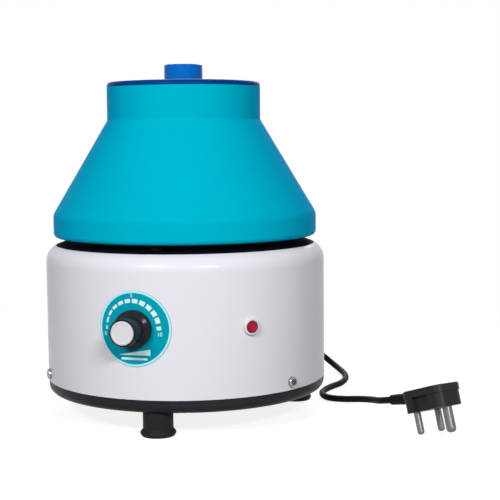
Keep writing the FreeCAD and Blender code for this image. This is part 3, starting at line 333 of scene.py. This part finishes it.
PRINT_LIFT = 0.03
SCALE_CENTRE = -1.5
SCALE_RADIUS = 19.8
MARK_COUNT = 12
MARK_FIRST = 179.5
MARK_LAST = 2
MARK_LONG = 4.1
MARK_END_LONG = 2.6
MARK_THIN = 1.0
MARK_THICK = 3.3
MARK_FULL = 7
MARK_STEPS = 6
BORDER_WIDTH = 1.4
BORDER_INSET = 0.06
BORDER_STEPS = 144
NUMBERS = (("0", -22.2, -4.4), ("5", -1.6, 23.5), ("10", 18.8, -3.8))
NUMBER_SIZE = 3.8
WEDGE_HALF = 12
WEDGE_LOW = -18.8
WEDGE_HIGH = -14.4
RULE_HALF = 9.8
RULE_LOW = -22.2
RULE_HIGH = -20.6
BAR_STEPS = 16


def on_dial(right, up):
    reach = SHELL_RADIUS + DIAL_FACE + PRINT_LIFT
    turn = math.radians(DIAL_ANGLE) + math.asin(right / reach)
    return Vector((reach * math.sin(turn), -reach * math.cos(turn), DIAL_HEIGHT + up)) * MM


def print_on_dial(name, outlines, material):
    """One printed piece from several shapes, each a list of places and a list of faces."""
    points, faces = [], []
    for places, sides in outlines:
        faces += [tuple(corner + len(points) for corner in side) for side in sides]
        points += [on_dial(*place) for place in places]
    return add_piece(name, mesh_from(name, points, faces), "base", material)


def ladder(pairs):
    """A strip between two rows of places, given as pairs."""
    places = [place for pair in pairs for place in pair]
    sides = [(2 * step, 2 * step + 1, 2 * step + 3, 2 * step + 2) for step in range(len(pairs) - 1)]
    return places, sides


def ring_block(middle, radius, thick, turn, width, steps):
    """Part of a ring, centred on a turn from the right."""
    half = math.degrees(width / radius) / 2
    edges = (radius - thick / 2, radius + thick / 2)
    pairs = []
    for step in range(steps + 1):
        angle = math.radians(turn + half - 2 * half * step / steps)
        pairs.append([(middle + edge * math.cos(angle), edge * math.sin(angle)) for edge in edges])
    return ladder(pairs)


def scale_mark(mark):
    """One block of the scale: they thicken up to a full one, and the two at the ends are short."""
    share = mark / (MARK_COUNT - 1)
    turn = MARK_FIRST + (MARK_LAST - MARK_FIRST) * share
    thick = MARK_THIN + (MARK_THICK - MARK_THIN) * min(mark / MARK_FULL, 1)
    width = MARK_END_LONG if mark in (0, MARK_COUNT - 1) else MARK_LONG
    return ring_block(SCALE_CENTRE, SCALE_RADIUS, thick, turn, width, MARK_STEPS)


def number(text, right, up):
    curve = bpy.data.curves.new("number", "FONT")
    curve.body = text
    curve.size = NUMBER_SIZE
    curve.align_x = "CENTER"
    curve.align_y = "CENTER"
    drawn = bpy.data.objects.new("number", curve)
    mesh = bpy.data.meshes.new_from_object(drawn)
    places = [(right + point.co.x, up + point.co.y) for point in mesh.vertices]
    sides = [tuple(face.vertices) for face in mesh.polygons]
    bpy.data.objects.remove(drawn)
    bpy.data.meshes.remove(mesh)
    return places, sides


def bar(half, low, high_left, high_right):
    """A straight bar whose upper edge may rise to the right."""
    pairs = []
    for step in range(BAR_STEPS + 1):
        share = step / BAR_STEPS
        right = half * (2 * share - 1)
        pairs.append([(right, low), (right, high_left + (high_right - high_left) * share)])
    return ladder(pairs)


def dial_printing():
    print_on_dial("dial_marks", [scale_mark(mark) for mark in range(MARK_COUNT)], "dial_white")
    print_on_dial("dial_numbers", [number(*entry) for entry in NUMBERS], "dial_white")
    wedge = bar(WEDGE_HALF, WEDGE_LOW, WEDGE_LOW, WEDGE_HIGH)
    rule = bar(RULE_HALF, RULE_LOW, RULE_HIGH, RULE_HIGH)
    print_on_dial("dial_wedge", [wedge, rule], "dial_white")
    middle = DIAL_RADIUS - BORDER_WIDTH / 2 - BORDER_INSET
    edge = ring_block(0, middle, BORDER_WIDTH, 0, 2 * math.pi * middle, BORDER_STEPS)
    print_on_dial("dial_edge", [edge], "dial_border")


# Cross slots in the heads of the case screws, each of two flat bars in near black: painted shade that
# stands in for the recess

SLOT_LONG = 2.1
SLOT_WIDE = 0.45


def screw_slots():
    points, faces = [], []
    for screw in range(SCREW_COUNT):
        out = radial(SCREW_ANGLE + 360 * screw / SCREW_COUNT)
        along = out.cross(UP)
        middle = out * (SHELL_RADIUS + SCREW_FACE + PRINT_LIFT) + UP * SCREW_HEIGHT
        for long, wide in ((SLOT_LONG, SLOT_WIDE), (SLOT_WIDE, SLOT_LONG)):
            first = len(points)
            for side, up in ((-long, -wide), (long, -wide), (long, wide), (-long, wide)):
                points.append((middle + along * side + UP * up) * MM)
            faces.append(tuple(range(first, first + 4)))
    mesh = mesh_from("case_screw_slots", points, faces)
    add_piece("case_screw_slots", mesh, "base", "slot_painted_shade")


# Power lead: its route from the gland to the boot of the plug

CORD_POINTS = [
    (88, 147, 37),
    (106, 156, 25),
    (122.5, 153, 12),
    (133, 139, 4.4),
    (137.5, 118, 2.7),
    (136.5, 96, 2.7),
    (130, 75, 2.7),
    (117.5, 58, 2.7),
    (109, 38, 2.7),
    (111, 17, 2.8),
    (123.5, 3, 4.2),
    (136, -8, 6.6),
    (143.4, -21.5, 8.8),
    (146.1, -35, 11),
]
CORD_EXIT_RUN = 18
CORD_BOOT_RUN = 14
CORD_ROUND_STEPS = 6
CORD_ALONG_STEPS = 10
PLUG_PLACE = Vector((174.2, -92.8, 15.45))
PLUG_HEADING = -60
PLUG_TILT = 18.5
BOOT_ROOT = Vector((-6, 0, 10.2))
BOOT_LENGTH = 32
BOOT_LIFT = 6


def plug_point(local):
    heading = Matrix.Rotation(math.radians(PLUG_HEADING), 3, "Z")
    tilt = Matrix.Rotation(math.radians(-PLUG_TILT), 3, "Y")
    return PLUG_PLACE + heading @ tilt @ local


def cord_route():
    out = radial(CORD_ANGLE)
    mouth = out * (SHELL_RADIUS + GLAND_REACH) + UP * CORD_HEIGHT
    route = [mouth, mouth + out * CORD_EXIT_RUN]
    route += [Vector(point) for point in CORD_POINTS]
    lift = math.radians(BOOT_LIFT)
    backward = Vector((-math.cos(lift), 0, math.sin(lift)))
    for reach in (BOOT_LENGTH + CORD_BOOT_RUN, BOOT_LENGTH):
        route.append(plug_point(BOOT_ROOT + backward * reach))
    return [point * MM for point in route]


def power_cord():
    route = cord_route()
    curve = bpy.data.curves.new("lead", "CURVE")
    curve.dimensions = "3D"
    curve.bevel_depth = CORD_RADIUS * MM
    curve.bevel_resolution = CORD_ROUND_STEPS
    curve.resolution_u = CORD_ALONG_STEPS
    curve.use_fill_caps = True
    spline = curve.splines.new("NURBS")
    spline.points.add(len(route) - 1)
    for point, place in zip(spline.points, route):
        point.co = (*place, 1)
    spline.order_u = 3
    spline.use_endpoint_u = True
    lead = add_piece("lead", curve, "base", "cord_black")
    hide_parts("power_cord")


# Floor, light and camera: places and sizes in metres, power in watts

FLOOR_HALF = 6
FLOOR_GREY = (0.28, 0.28, 0.28, 1)
FLOOR_ROUGHNESS = 0.9
FLOOR_NEAR = 0.28
FLOOR_FAR = 0.65
FLOOR_GLOW = 0.86
SHADOW_GREY = (0.30, 0.30, 0.30, 1)
WHITE = (1, 1, 1, 1)
WORLD_LIGHT = 0.05
LAMP_TARGET = Vector((0, 0, 0.15))
LAMPS = (
    dict(name="key_left", place=(-0.85, -1.68, 1.21), width=0.8, height=0.24, power=27),
    dict(name="key_right", place=(0.66, -1.86, 1.06), width=0.55, height=0.24, power=25),
    dict(name="fill_back", place=(0.3, 2.1, 1.4), width=1.4, height=1.2, power=34),
)


def seen(tree):
    """1 for what the camera sees, straight, in a reflection or through something clear, and 0 for light."""
    ray = tree.nodes.new("ShaderNodeLightPath")
    share = ray.outputs["Is Camera Ray"]
    for kind in ("Is Glossy Ray", "Is Transmission Ray"):
        either = tree.nodes.new("ShaderNodeMath")
        either.operation = "MAXIMUM"
        tree.links.new(share, either.inputs[0])
        tree.links.new(ray.outputs[kind], either.inputs[1])
        share = either.outputs["Value"]
    return share


def mix_shaders(tree, share, first, second):
    node = tree.nodes.new("ShaderNodeMixShader")
    tree.links.new(share, node.inputs["Fac"])
    tree.links.new(first, node.inputs[1])
    tree.links.new(second, node.inputs[2])
    return node.outputs["Shader"]


def floor_material():
    """Mid grey for the light that it throws back; where it is seen, white with a faint shadow."""
    material, tree, bsdf = new_material("studio_floor")
    bsdf.inputs["Base Color"].default_value = FLOOR_GREY
    bsdf.inputs["Roughness"].default_value = FLOOR_ROUGHNESS
    bsdf.inputs["Specular IOR Level"].default_value = 0
    shadow = add(tree, "ShaderNodeBsdfDiffuse", Color=SHADOW_GREY)
    glow = add(tree, "ShaderNodeEmission", Strength=FLOOR_GLOW)
    near = tree.nodes.new("ShaderNodeAddShader")
    tree.links.new(shadow.outputs["BSDF"], near.inputs[0])
    tree.links.new(glow.outputs["Emission"], near.inputs[1])
    white = add(tree, "ShaderNodeEmission", Strength=1)
    place = tree.nodes.new("ShaderNodeTexCoord")
    reach = tree.nodes.new("ShaderNodeVectorMath")
    reach.operation = "LENGTH"
    tree.links.new(place.outputs["Object"], reach.inputs[0])
    fade = add(tree, "ShaderNodeMapRange", From_Min=FLOOR_NEAR, From_Max=FLOOR_FAR)
    fade.interpolation_type = "SMOOTHSTEP"
    tree.links.new(reach.outputs["Value"], fade.inputs["Value"])
    shown = mix_shaders(tree, fade.outputs["Result"], near.outputs["Shader"], white.outputs["Emission"])
    both = mix_shaders(tree, seen(tree), bsdf.outputs["BSDF"], shown)
    tree.links.new(both, tree.nodes["Material Output"].inputs["Surface"])
    return material


def floor():
    half = FLOOR_HALF
    corners = [(-half, -half, 0), (half, -half, 0), (half, half, 0), (-half, half, 0)]
    plane = bpy.data.objects.new("floor", mesh_from("floor", corners, [(0, 1, 2, 3)]))
    bpy.context.scene.collection.objects.link(plane)
    plane.data.materials.append(floor_material())


def world():
    """Faint light all round the object, and plain white wherever it is seen."""
    sky = bpy.data.worlds.new("studio")
    bpy.context.scene.world = sky
    sky.use_nodes = True
    tree = sky.node_tree
    back = tree.nodes["Background"]
    back.inputs["Color"].default_value = WHITE
    level = add(tree, "ShaderNodeMapRange", To_Min=WORLD_LIGHT, To_Max=1)
    tree.links.new(seen(tree), level.inputs["Value"])
    tree.links.new(level.outputs["Result"], back.inputs["Strength"])


def softbox(name, place, width, height, power):
    light = bpy.data.lights.new(name, "AREA")
    light.shape = "RECTANGLE"
    light.size = width
    light.size_y = height
    light.energy = power
    obj = bpy.data.objects.new(name, light)
    obj.location = place
    obj.rotation_euler = (LAMP_TARGET - Vector(place)).to_track_quat("-Z", "Y").to_euler()
    bpy.context.scene.collection.objects.link(obj)


def camera():
    data = bpy.data.cameras.new("photo_view")
    data.lens = CAMERA_LENS
    data.sensor_width = FILM_WIDTH
    obj = bpy.data.objects.new("photo_view", data)
    turn = Matrix.Rotation(math.radians(CAMERA_YAW), 4, "Z")
    turn @= Matrix.Rotation(math.radians(90 - CAMERA_PITCH), 4, "X")
    turn @= Matrix.Rotation(math.radians(CAMERA_ROLL), 4, "Z")
    obj.matrix_world = Matrix.Translation(CAMERA_PLACE) @ turn
    bpy.context.scene.collection.objects.link(obj)
    bpy.context.scene.camera = obj


paint_nodes()
dial_printing()
screw_slots()
power_cord()
floor()
world()
for lamp in LAMPS:
    softbox(**lamp)
camera()
bpy.context.scene.view_settings.view_transform = "Standard"
